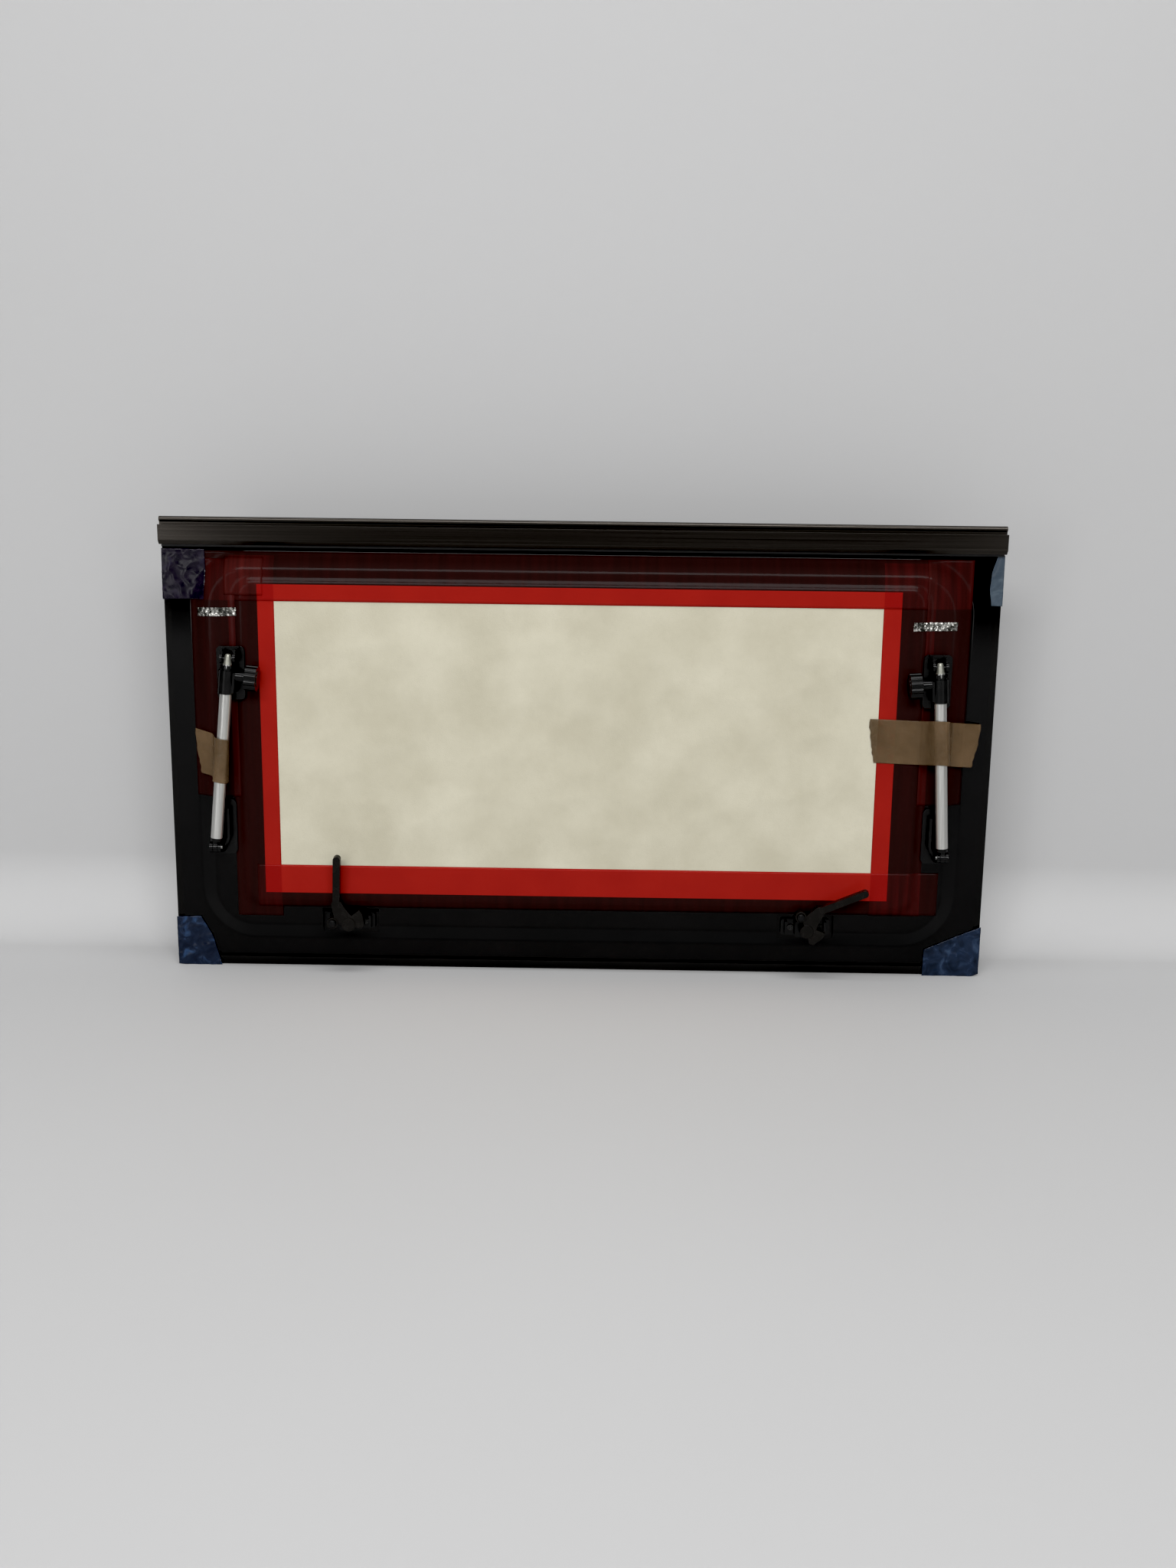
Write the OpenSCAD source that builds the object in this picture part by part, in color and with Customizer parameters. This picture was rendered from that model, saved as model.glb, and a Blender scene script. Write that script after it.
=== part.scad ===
// Top-hung double-glazed caravan window sash, seen from the room, in its shipping protection.
// X runs along the hinge rail, +Z is up and -Y is the room side. The origin is on the hinge bead's axis.

/* [Sash] */
// Width of the sash and of its hinge rail
sash_w = 900; // [760:10:1200]
// Height from the hinge bead's axis down to the bottom edge
sash_drop = 497; // [440:1:700]
// Thickness of the outer pane
outer_t = 4; // [3:0.5:5]
// Radius of the outer pane's bottom corners
corner_r = 26; // [16:1:40]
// Thickness of the bond between the panes
bond_t = 0.5; // [0.3:0.1:1]
// Distance of the flange's front face behind the hinge axis
flange_y = 3; // [2:0.5:6]
// Height of the rounded lip along the bottom edge
lip_w = 12; // [6:1:14]
// How far the lip stands out of the outer pane
lip_rise = 1.5; // [0.5:0.1:2.5]

/* [Inner pane] */
// Sheet thickness of the inner pane
inner_t = 2.5; // [2:0.25:3]
// Bare rim of outer pane beside the inner pane
rim_side = 8; // [5:1:14]
// Bare rim of outer pane below the inner pane
rim_bottom = 15.7; // [14:0.1:20]
// Side edge of the sash to the foot of the sloped wall
foot_side = 30.6; // [24:0.1:40]
// Bottom edge of the sash to the foot of the sloped wall
foot_bottom = 33.6; // [26:0.1:45]
// Hinge axis down to the foot of the sloped wall
foot_top = 33; // [31:1:50]
// Corner radius of the wall's foot
foot_r = 60; // [45:1:80]
// Width of the sloped wall, seen from the front
wall_run = 18.3; // [10:0.1:22]
// Height of the ledge above the flange
wall_rise = 10; // [8:0.5:14]
// Width of the ledge at the sides
ledge_side = 29; // [24:0.5:40]
// Width of the ledge at the bottom
ledge_bottom = 22.1; // [21:0.1:30]
// Width of the ledge at the top
ledge_top = 8.7; // [4:0.1:20]
// Width of the slope from the ledge to the raised field
step_run = 5.5; // [3:0.5:8]
// Height of the raised field above the ledge
step_rise = 3; // [1:0.5:4]
// Corner radius of the raised field
field_r = 15; // [8:1:25]

/* [Rail] */
// Radius of the hinge bead
bead_r = 3; // [2.5:0.1:4]
// Front face of the rail, ahead of the flange
rail_front = 12; // [9:0.5:12]
// Height of the rail's broad front face
rail_face = 15.6; // [12:0.1:20]
// Wall thickness of the rail
rail_t = 1.8; // [1.2:0.1:2.2]
// Thickness of the gasket between rail and pane
gasket_t = 0.8; // [0.5:0.1:1.2]

/* [Stays] */
// Hinge bead's axis down to the stay pivots
pivot_drop = 353; // [300:1:400]
// Middle of the sash to the stay pivots
pivot_x = 396; // [300:1:396]
// Stay axis ahead of the flange
stay_y = 29; // [28.5:0.5:36]
// Lean of the left stay, top inwards
lean_left = 5.6; // [0:0.1:8]
// Lean of the right stay, top inwards
lean_right = 3.8; // [0:0.1:8]
// Outside diameter of the tube
tube_d = 13; // [12.5:0.5:14]
// Length of the tube below the clamp housing
tube_len = 160; // [120:1:170]
// Diameter of the sliding rod
rod_d = 10; // [9:0.1:10]
// Width of the clamp housing
housing_w = 18; // [17:0.5:18]
// Height of the clamp housing
housing_h = 30.5; // [28:0.5:36]
// Diameter of the knob over its lobes
knob_d = 28; // [22:1:28]
// Thickness of the knob
knob_t = 12.6; // [8:0.1:16]
// Running clearance on radius of pins, spindles and the rod
run_gap = 0.08; // [0.03:0.01:0.1]
// Width of the stay base on the ledge
base_w = 27; // [26:0.5:28]
// Height of the stay base on the ledge
base_h = 62; // [56:1:72]
// Width of the frame bracket
bracket_w = 30; // [28:1:34]
// Height of the frame bracket
bracket_h = 58; // [52:1:64]
// Distance between the frame bracket's screw holes
bracket_holes = 44; // [38:1:46]
// Diameter of the frame bracket's screw holes
bracket_hole_d = 4.2; // [3.5:0.1:5]

/* [Latches] */
// Middle of the sash to the latch pivots
latch_x = 253; // [200:1:280]
// Latch pivot above the bottom edge
latch_up = 57; // [55:0.5:60]
// Length of the latch base
latch_w = 54; // [50:1:60]
// Length of the lever from its pivot to its tip
lever_len = 81; // [70:1:95]
// Diameter of the lever's bar
lever_w = 8; // [6:0.5:10]
// Turn of the right lever from straight along +X
lever_right = 37.5; // [9:0.5:98]
// Turn of the left lever from straight along +X
lever_left = 99; // [9:0.5:99]
// Travel of the lock button
button_travel = 2; // [1:0.5:2]

/* [Shipping protection] */
// Thickness of each film, paper and tape layer
film_t = 0.2; // [0.1:0.05:0.22]
// Width of the red film
film_w = 50; // [30:1:52]
// Width of the brown packing tape
pack_tape_w = 48; // [38:1:50]

/* [Hidden] */
$fn = 48;

half_w = sash_w / 2;
bottom_z = -sash_drop;
glass_top = bead_r - 11.5;
ledge_y = flange_y - wall_rise;
field_y = ledge_y - step_rise;
outer_y = flange_y + inner_t + bond_t;

// Outlines in X and Z: [half width, bottom, top, corner radius]
foot = [half_w - foot_side, bottom_z + foot_bottom, -foot_top, foot_r];
crest = [foot[0] - wall_run, foot[1] + wall_run, foot[2] - wall_run, foot_r - wall_run];
step_foot = [crest[0] - ledge_side, crest[1] + ledge_bottom, crest[2] - ledge_top, field_r + step_run];
field = [step_foot[0] - step_run, step_foot[1] + step_run, step_foot[2] - step_run, field_r];

// Rail section
rail_y = flange_y - rail_front;
rail_top = -2 * bead_r - 0.4;
rail_low = rail_top - rail_face;
rail_skirt = rail_low - 4.5;
slot_y = flange_y - gasket_t;
slot_back = outer_y + outer_t + 0.2;
neck_t = 2;

// Stay and its bracket; local Z runs up the tube from the pivot
stay_axis_y = flange_y - stay_y;
pivot_z = -pivot_drop;
rod_r = rod_d / 2;
pin_r = 2;
small_pin_r = 1.5;
eye_r = 5.5;
eye_w = 5;
ear_t = 3.4;
ear_gap = 0.35;
collar_z = 7.2;
tube_z = 11;
plug_len = 14;
housing_z = tube_z + tube_len;
seat_len = 8;
crown_h = 5;
housing_top = housing_z + housing_h;
rod_z = tube_z + plug_len + 6;
tip_len = 12;
tip_pin = 7.5;
knob_z = housing_z + 19.4;
boss_r = 5.5;
boss_end = 20;
knob_x = boss_end + 0.3;
spindle_r = 3;
shoe_r = 3.9;
base_t = 3;
base_shift = 6.5;
base_drop = 11;
bracket_t = 3;
bracket_front = 2;
bracket_y = stay_axis_y + housing_w / 2 + bracket_front;
bracket_ear_x = rod_r + 0.4;
bracket_ear_t = 3;
bracket_ear_r = 5.4;

// Latches
latch_z = bottom_z + latch_up;
pocket_y = flange_y - 5;
pocket_w = latch_w + 8;
pocket_top = 14;
pocket_wall = 2;
latch_h = 18.5;
base_front = flange_y - 17;
cam_y = base_front - 0.3;
hub_r = 7.5;
hub_y = cam_y - 10;
blade_y = hub_y + 1;
arm_root = [24, 10];
arm_t = 7;
arm_drop = 12;
arm_tilt = 8;
button_r = 4;
button_wall = 2.2;
button_proud = 0.4;
button_at = [4.5, 17.5];
button_floor = cam_y - 1.6;
spring_len = 4;
screw_r = 3.2;
screw_head = 2;
shank_r = 1.5;
screw_x = 16.5;
press_gap = 0.02;

// Films lie in layers in front of the inner pane
layer = 0.25;
over_films = film_t + 4 * layer + 0.05;

// Film and label outlines in X and Z: [left, bottom, right, top]
top_film = [-foot[0] - 1, foot[2] - 2 - film_w, foot[0] - 1, foot[2]];
bottom_film = [-field[0] + 12, step_foot[1] - 1, crest[0] - 4, step_foot[1] + film_w - 2.5];
left_inner_film = [-step_foot[0] - 6, crest[1] + 10, -step_foot[0] + film_w - 8, foot[2] - 4];
left_outer_film = [-foot[0] - 1, pivot_z + 53, -foot[0] + film_w - 1, foot[2] - 8];
right_inner_film = [step_foot[0] + 5 - film_w, step_foot[1] - 2, step_foot[0] + 6, foot[2] - 4];
right_outer_film = [foot[0] - 1 - film_w, pivot_z + 54, foot[0] - 1, foot[2]];
patch_film = [-step_foot[0] - 10, foot[2] - 46, -step_foot[0] + 32, foot[2] - 6];
left_foil = [-crest[0] - 11, foot[2] - 69, -step_foot[0] + 3, foot[2] - 60];
right_foil = [step_foot[0] - 17.5, foot[2] - 75, crest[0] + 1, foot[2] - 65.5];

function lean(side) = side < 0 ? lean_left : lean_right;
function lever_turn(side) = side < 0 ? lever_left : lever_right;

// ---------- helpers ----------

// A 2D outline in X and Z made into a plate whose front face is at y
module slab(y, t) {
    translate([0, y + t, 0]) rotate([90, 0, 0]) linear_extrude(t) children();
}

module rounded(o) {
    translate([-o[0] + o[3], o[1]]) square([2 * (o[0] - o[3]), o[2] - o[1]]);
    translate([-o[0], o[1] + o[3]]) square([2 * o[0], o[2] - o[1] - 2 * o[3]]);
    for (x = [-o[0] + o[3], o[0] - o[3]], z = [o[1] + o[3], o[2] - o[3]])
        translate([x, z]) circle(o[3]);
}

// The sash outline, inset at the sides and bottom, with square top corners
module sash_outline(side, low, top) {
    r = corner_r - min(side, low);
    w = half_w - side;
    translate([-w + r, bottom_z + low]) square([2 * (w - r), top - bottom_z - low]);
    translate([-w, bottom_z + low + r]) square([2 * w, top - bottom_z - low - r]);
    for (x = [-w + r, w - r]) translate([x, bottom_z + low + r]) circle(r);
}

// A section, drawn as [distance from the corner centre, distance ahead of the hinge axis],
// swept round a rounded rectangle
module sweep_round(o) {
    x = o[0] - o[3];
    low = o[1] + o[3];
    high = o[2] - o[3];
    for (c = [[x, high, 0], [-x, high, 90], [-x, low, 180], [x, low, 270]])
        translate([c[0], 0, c[1]]) rotate([90, 0, 0]) rotate([0, 0, c[2]])
            rotate_extrude(angle = 90, $fn = 96) children();
    for (s = [[x, 0, high - low], [0, 90, 2 * x], [-x, 180, high - low], [0, 270, 2 * x]])
        translate([s[0], 0, s[1] == 90 ? high : s[1] == 270 ? low : (high + low) / 2])
            rotate([90, 0, 0]) rotate([0, 0, s[1]]) rotate([90, 0, 0])
                linear_extrude(s[2], center = true) children();
}

// Sheet of thickness t whose back face lies at 'ahead' in front of the inner pane's front face
module pane_skin(ahead, t, side, low) {
    front = -flange_y + ahead;
    slab(flange_y - ahead - t, t) difference() {
        sash_outline(side, low, glass_top);
        rounded(foot);
    }
    sweep_round(foot) sloped(foot_r, wall_run, front, wall_rise, t);
    slab(ledge_y - ahead - t, t) difference() {
        rounded(crest);
        rounded(step_foot);
    }
    sweep_round(step_foot) sloped(step_foot[3], step_run, front + wall_rise, step_rise, t);
    slab(field_y - ahead - t, t) rounded(field);
}

module sloped(r, run, front, rise, t) {
    polygon([[r, front], [r, front + t], [r - run, front + rise + t], [r - run, front + rise]]);
}

// Cylinder of radius r along X, centred
module rod_x(r, len) {
    rotate([0, 90, 0]) cylinder(r = r, h = len, center = true);
}

// Cylinder of radius r along Y, from y back to y + len
module rod_y(r, y, len) {
    translate([0, y + len, 0]) rotate([90, 0, 0]) cylinder(r = r, h = len);
}

// ---------- sash ----------

module outer_pane() color([0.05, 0.05, 0.06]) {
    lip_r = (lip_w * lip_w / 4 + lip_rise * lip_rise) / (2 * lip_rise);
    slab(outer_y, outer_t) sash_outline(0, 0, glass_top);
    intersection() {
        translate([0, outer_y - lip_rise + lip_r, bottom_z + rim_bottom / 2])
            rod_x(lip_r, sash_w - 2 * corner_r);
        translate([0, outer_y, bottom_z + rim_bottom / 2])
            cube([sash_w, 2 * lip_rise, lip_w + 1], center = true);
    }
}

module inner_pane() color([0.04, 0.04, 0.04]) difference() {
    union() {
        pane_skin(-inner_t, inner_t, rim_side, rim_bottom);
        for (side = [-1, 1]) pocket_block(side);
    }
    for (side = [-1, 1]) pocket_hollow(side);
}

module pocket_block(side) {
    wall_slope = wall_rise / wall_run;
    low = (flange_y - pocket_y - 1.5) / wall_slope;
    back = pocket_y + inner_t;
    pocket_len = pocket_w + 2 * pocket_wall;
    translate([side * latch_x - pocket_len / 2, 0, 0]) rotate([90, 0, 90]) linear_extrude(pocket_len)
        polygon([
            [back, foot[1] + low],
            [flange_y - low * wall_slope, foot[1] + low],
            [ledge_y, crest[1]],
            [ledge_y, latch_z + pocket_top + pocket_wall],
            [back, latch_z + pocket_top + pocket_wall]
        ]);
}

module pocket_hollow(side) {
    depth = wall_rise + step_rise + 5;
    translate([side * latch_x - pocket_w / 2, pocket_y - depth, foot[1]])
        cube([pocket_w, depth, latch_z + pocket_top - foot[1]]);
}

module bond_seam() color([0.02, 0.02, 0.02])
    slab(flange_y + inner_t, bond_t) difference() {
        sash_outline(rim_side + 1, rim_bottom + 1, glass_top - 1);
        rounded(foot);
    }

module rail_section() {
    back = slot_back + rail_t;
    mid = slot_y - rail_t;
    difference() {
        union() {
            circle(bead_r);
            translate([-neck_t / 2, rail_top - rail_t / 2]) square([neck_t, rail_t / 2 - rail_top]);
            translate([rail_y, rail_top - rail_t / 2]) square([1, rail_t / 2 + 1]);
            polygon([
                [rail_y, rail_top], [rail_y, rail_low], [rail_y + 4, rail_skirt],
                [back, rail_skirt], [back, rail_top]
            ]);
        }
        polygon([
            [rail_y + rail_t, rail_top - rail_t], [mid, rail_top - rail_t],
            [mid, rail_skirt + rail_t], [rail_y + 4.8, rail_skirt + rail_t],
            [rail_y + rail_t, rail_low + 0.4]
        ]);
        translate([slot_y, rail_skirt - 1]) square([slot_back - slot_y, glass_top + 0.3 - rail_skirt + 1]);
    }
}

module along_rail(len) {
    translate([-len / 2, 0, 0]) rotate([90, 0, 90]) linear_extrude(len) children();
}

module hinge_rail() color([0.15, 0.14, 0.13]) along_rail(sash_w) rail_section();

module rail_gasket() color([0.03, 0.03, 0.03]) along_rail(sash_w - 2) {
    translate([slot_y, rail_skirt - 2]) square([gasket_t, glass_top - rail_skirt]);
    translate([slot_y - 1.6, rail_skirt - 2.5]) square([1.6 + gasket_t, 2.5]);
}

// ---------- shipping protection ----------

// A strip of film or tape, drawn in X and Z, laid on the inner pane in the numbered layer
module laid(level, side = rim_side, low = rim_bottom) {
    intersection() {
        pane_skin(film_t + layer * level + 0.05, film_t, side, low);
        slab(field_y - 8, 20) children();
    }
}

module strip(s) {
    translate([s[0], s[1]]) square([s[2] - s[0], s[3] - s[1]]);
}

module masking_paper() color([0.75, 0.73, 0.64])
    slab(field_y - film_t, film_t) polygon([
        [-field[0] + 20, field[2] - 1.3], [field[0] - 21, field[2] - 1.4],
        [field[0] - 19, field[1] + 13], [-field[0] + 21, field[1] + 6.8]
    ]);

module film_top() color([0.45, 0.03, 0.03])
    laid(1) strip(top_film);

module film_bottom() color([0.5, 0.03, 0.03])
    laid(1) strip(bottom_film);

module film_left_inner() color([0.45, 0.03, 0.03])
    laid(0) difference() {
        strip(left_inner_film);
        base_cutout(-1);
    }

module film_left_outer() color([0.3, 0.03, 0.03])
    laid(2) strip(left_outer_film);

module film_right_inner() color([0.45, 0.03, 0.03])
    laid(0) difference() {
        strip(right_inner_film);
        base_cutout(1);
    }

// The film is cut out around the stay's base
module base_cutout(side) {
    gap = 0.4;
    translate([side * (pivot_x - base_shift) - base_w / 2 - gap, pivot_z - base_drop - gap])
        square([base_w + 2 * gap, base_h + 2 * gap]);
}

module film_right_outer() color([0.3, 0.03, 0.03])
    laid(2) strip(right_outer_film);

module film_patch() color([0.4, 0.05, 0.05])
    laid(3) strip(patch_film);

module foil_labels() color([0.45, 0.44, 0.42]) {
    laid(3) strip(left_foil);
    laid(3) strip(right_foil);
}

module blue_tape_top_left() color([0.08, 0.09, 0.2])
    laid(4, 0, 0) strip([-half_w, foot[2] - 52, -half_w + 47, rail_skirt - 3]);

module blue_tape_top_right() color([0.3, 0.34, 0.38])
    slab(flange_y - film_t, film_t) strip([half_w - 11, foot[2] - 48, half_w, rail_skirt - 3]);

module blue_tape_bottom_left() color([0.12, 0.2, 0.32])
    slab(flange_y - film_t, film_t) polygon([
        [-half_w, bottom_z], [-half_w, bottom_z + 56], [-half_w + 26, bottom_z + 58],
        [-half_w + 38, bottom_z + 34], [-half_w + 50, bottom_z]
    ]);

module blue_tape_bottom_right() color([0.15, 0.2, 0.28])
    slab(flange_y - film_t, film_t) polygon([
        [half_w - 63, bottom_z], [half_w, bottom_z], [half_w, bottom_z + 58], [half_w - 24, bottom_z + 47],
        [half_w - 63, bottom_z + 30]
    ]);

// ---------- stays ----------

// Children are drawn for the right side with the pivot at the origin, and stay upright
module at_pivot(side) {
    translate([side * pivot_x, stay_axis_y, pivot_z]) mirror([side < 0 ? 1 : 0, 0, 0]) children();
}

// The same, leaned with the tube
module on_tube(side) {
    at_pivot(side) rotate([0, -lean(side), 0]) children();
}

// The same, upright at the pin through the rod's tip
module at_tip(side) {
    on_tube(side) translate([0, 0, housing_top + tip_pin]) rotate([0, lean(side), 0]) children();
}

module stay_base(side) color([0.04, 0.04, 0.04]) {
    back = ledge_y - stay_axis_y;
    ear_x = eye_w / 2 + ear_gap;
    at_pivot(side) difference() {
        union() {
            translate([-base_shift - base_w / 2, back - base_t, -base_drop]) base_plate();
            for (x = [-ear_x - ear_t, ear_x]) translate([x, 0, 0]) base_ear(back);
            rim_run(back);
        }
        rod_x(pin_r, 4 * base_w);
    }
}

module base_plate() {
    r = 6;
    translate([0, base_t, 0]) rotate([90, 0, 0]) linear_extrude(base_t) {
        translate([r, 0]) square([base_w - 2 * r, base_h]);
        translate([0, r]) square([base_w, base_h - 2 * r]);
        for (x = [r, base_w - r], z = [r, base_h - r]) translate([x, z]) circle(r);
    }
}

module base_ear(back) {
    rotate([90, 0, 90]) linear_extrude(ear_t) {
        circle(eye_r);
        polygon([[0, -eye_r], [back - 1, -eye_r - 3], [back - 1, eye_r + 4], [0, eye_r]]);
    }
}

// Raised J-shaped rim: straight up the inner side, then curving out to the fork
module rim_run(back) {
    rim_t = 3;
    rim_h = 9;
    rim_x = -14;
    bend_r = 16;
    translate([rim_x, back - base_t - rim_h, bend_r - 4]) cube([rim_t, rim_h + 1, base_h - bend_r - 16]);
    translate([rim_x + bend_r, back - base_t + 1, bend_r - 4]) rotate([90, 0, 0]) rotate([0, 0, 180])
        rotate_extrude(angle = 55, $fn = 96) translate([bend_r - rim_t, 0]) square([rim_t, rim_h + 1]);
}

module stay_pin(side) color([0.5, 0.5, 0.48])
    at_pivot(side) rod_x(pin_r, eye_w + 2 * (ear_gap + ear_t) + 1.6);

module tube_eye(side) color([0.03, 0.03, 0.03]) {
    plug_r = rod_r + run_gap;
    difference() {
        union() {
            at_pivot(side) {
                rod_x(eye_r, eye_w);
                translate([-eye_w / 2, -4, 0]) cube([eye_w, 8, collar_z + 1.5]);
            }
            on_tube(side) translate([0, 0, collar_z]) {
                cylinder(r = tube_d / 2, h = tube_z - collar_z);
                cylinder(r = plug_r, h = tube_z - collar_z + plug_len);
            }
        }
        at_pivot(side) rod_x(pin_r + run_gap, 3 * eye_w);
    }
}

module tube(side) color([0.68, 0.68, 0.66])
    on_tube(side) translate([0, 0, tube_z]) difference() {
        cylinder(d = tube_d, h = tube_len + seat_len);
        translate([0, 0, -1]) cylinder(r = rod_r + run_gap, h = tube_len + seat_len + 2);
    }

module clamp_housing(side) color([0.03, 0.03, 0.03])
    on_tube(side) translate([0, 0, housing_z]) difference() {
        union() {
            cylinder(d = housing_w, h = housing_h - crown_h);
            cylinder(d = housing_w - 3, h = housing_h);
            translate([-boss_end / 2, 0, knob_z - housing_z]) rod_x(boss_r, boss_end);
            translate([-housing_w / 2 - 0.6, -5.5, 2]) cube([housing_w / 2, 11, housing_h - crown_h - 4]);
        }
        translate([0, 0, -1]) cylinder(r = rod_r + run_gap, h = housing_h + 2);
        translate([0, 0, -1]) cylinder(d = tube_d, h = seat_len + 1);
        translate([-boss_end, 0, knob_z - housing_z]) rod_x(spindle_r + run_gap, boss_end * 1.8);
        translate([-5.6, 0, knob_z - housing_z]) rod_x(shoe_r + 0.1, 5.2);
        for (a = [0 : 45 : 135])
            translate([0, 0, housing_h - 1.5]) rotate([0, 0, a]) cube([housing_w, 2, 4], center = true);
    }

module clamp_shoe(side) color([0.6, 0.45, 0.2])
    on_tube(side) translate([-rod_r - 1.7, 0, knob_z]) rod_x(shoe_r, 2.6);

module knob(side) color([0.04, 0.04, 0.04])
    on_tube(side) translate([-knob_x, 0, knob_z]) rotate([0, -90, 0]) difference() {
        union() {
            linear_extrude(knob_t) knob_outline(knob_d / 2);
            translate([0, 0, knob_t - 1]) cylinder(r = knob_d / 2 - 5, h = 1.8);
        }
        translate([0, 0, -1]) cylinder(r = spindle_r + press_gap, h = knob_t - 1);
    }

module knob_outline(r) {
    lobes = 10;
    lobe_r = 3;
    circle(r - 1.2);
    for (i = [0 : lobes - 1]) rotate(i * 360 / lobes) translate([r - lobe_r, 0]) circle(lobe_r);
}

module knob_spindle(side) color([0.5, 0.5, 0.48])
    on_tube(side) translate([-knob_x - knob_t + 2, 0, knob_z]) rotate([0, 90, 0])
        cylinder(r = spindle_r, h = knob_x + knob_t - 2 - rod_r - 3.2);

module sliding_rod(side) color([0.6, 0.6, 0.55])
    on_tube(side) translate([0, 0, rod_z]) cylinder(r = rod_r, h = housing_top + 1 - rod_z);

module rod_tip(side) color([0.5, 0.5, 0.45])
    difference() {
        on_tube(side) translate([0, 0, housing_top + 1]) {
            cylinder(r1 = rod_r - 0.4, r2 = rod_r - 1.5, h = tip_len - 3, $fn = 48);
            translate([0, 0, tip_len - 3]) cylinder(r1 = rod_r - 1.5, r2 = rod_r - 2.5, h = 2, $fn = 48);
        }
        at_tip(side) rod_x(small_pin_r + run_gap, 4 * rod_r);
    }

module bracket_outline() {
    r = 5;
    low = -bracket_h + 12;
    translate([-bracket_w / 2 + r, low]) square([bracket_w - 2 * r, bracket_h]);
    translate([-bracket_w / 2, low + r]) square([bracket_w, bracket_h - 2 * r]);
    for (x = [-1, 1], z = [low + r, low + bracket_h - r])
        translate([x * (bracket_w / 2 - r), z]) circle(r);
}

module frame_bracket(side) color([0.04, 0.04, 0.04])
    at_tip(side) {
        back = bracket_y - stay_axis_y;
        low = -bracket_h + 12;
        difference() {
            union() {
                slab(back, bracket_t) bracket_outline();
                for (s = [-1, 1])
                    translate([s > 0 ? bracket_ear_x : -bracket_ear_x - bracket_ear_t, 0, 0])
                        rotate([90, 0, 90]) linear_extrude(bracket_ear_t) {
                            circle(bracket_ear_r);
                            translate([0, -bracket_ear_r]) square([back + 1, 2 * bracket_ear_r + 4]);
                        }
                translate([-bracket_w / 2 + 5, back - 3, 9]) cube([bracket_w - 10, 4, 3]);
            }
            rod_x(small_pin_r, 2 * bracket_w);
            for (z = [low + 7, low + 7 + bracket_holes]) translate([0, 0, z])
                rod_y(bracket_hole_d / 2, back - 10, bracket_t + 20);
        }
    }

module bracket_pin(side) color([0.5, 0.5, 0.48])
    at_tip(side) rod_x(small_pin_r, 2 * (bracket_ear_x + bracket_ear_t));

// Packing tape: flat on the pane, up over the tube, and down towards the edge
module pack_tape(side) color([0.35, 0.28, 0.18]) {
    mid_z = side < 0 ? 102.5 : 125.5;
    flat_from = -78;
    flat_to = -31;
    end_x = side < 0 ? 22.7 : 35;
    end_lift = side < 0 ? 8 : 4;
    drop_x = 3.4;
    drop_y = 14;
    top_y = -tube_d / 2 - film_t - 0.05;
    field_gap = field_y - over_films - film_t - 0.1 - stay_axis_y;
    edge_gap = flange_y - 3 - stay_axis_y;
    shift = -tan(lean(side)) * mid_z;
    top_half = tube_d / 2 - 0.5 + tan(lean(side)) * pack_tape_w / 2;
    flat = side < 0 ? [] : [[flat_from, field_gap], [flat_to, field_gap]];
    torn = side < 0 ? [[shift - top_half - 3, 0]] : [];
    line = concat(flat, torn, [
        [shift - top_half, top_y], [shift + top_half, top_y],
        [shift + top_half + drop_x, top_y + drop_y], [end_x, edge_gap - end_lift]
    ]);
    at_pivot(side) translate([0, 0, mid_z - pack_tape_w / 2]) linear_extrude(pack_tape_w)
        polygon(concat(line, [for (i = [len(line) - 1 : -1 : 0]) [line[i][0], line[i][1] - film_t]]));
}

// ---------- latches ----------

module at_latch(side) {
    translate([side * latch_x, 0, latch_z]) children();
}

// Children are drawn with the lever along +X and turned to where the lever stands
module on_lever(side) {
    at_latch(side) rotate([0, -lever_turn(side), 0]) children();
}

module latch_base(side) color([0.04, 0.04, 0.04])
    at_latch(side) difference() {
        union() {
            slab(pocket_y - 4, 4) base_outline(latch_w / 2);
            slab(base_front, pocket_y - base_front) base_outline(hub_r + 4.5);
            translate([-latch_w / 2 + 4, base_front + 3, -latch_h / 2 + 2]) cube([3, 8, latch_h - 4]);
            translate([latch_w / 2 - 7, base_front + 3, -latch_h / 2 + 2]) cube([3, 8, latch_h - 4]);
        }
        rod_y(spindle_r + run_gap, base_front - 5, 30);
        for (x = [-screw_x, screw_x]) translate([x, 0, 0]) rod_y(shank_r + 0.1, base_front - 1, 30);
    }

module base_outline(half) {
    r = 3;
    translate([-half + r, -latch_h / 2]) square([2 * (half - r), latch_h]);
    translate([-half, -latch_h / 2 + r]) square([2 * half, latch_h - 2 * r]);
    for (x = [-half + r, half - r], z = [-latch_h / 2 + r, latch_h / 2 - r]) translate([x, z]) circle(r);
}

module latch_screws(side) color([0.3, 0.3, 0.3])
    at_latch(side) for (x = [-screw_x, screw_x]) translate([x, 0, 0]) difference() {
        union() {
            rod_y(screw_r, pocket_y - 4 - screw_head, screw_head);
            rod_y(shank_r, pocket_y - 5, 5);
        }
        for (a = [0, 90]) rotate([0, a, 0]) translate([0, pocket_y - 6, 0]) cube([4, 1.6, 0.9], center = true);
    }

module latch_spindle(side) color([0.4, 0.4, 0.4])
    at_latch(side) rod_y(spindle_r, hub_y + 1.5, pocket_y - hub_y - 2);

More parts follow.
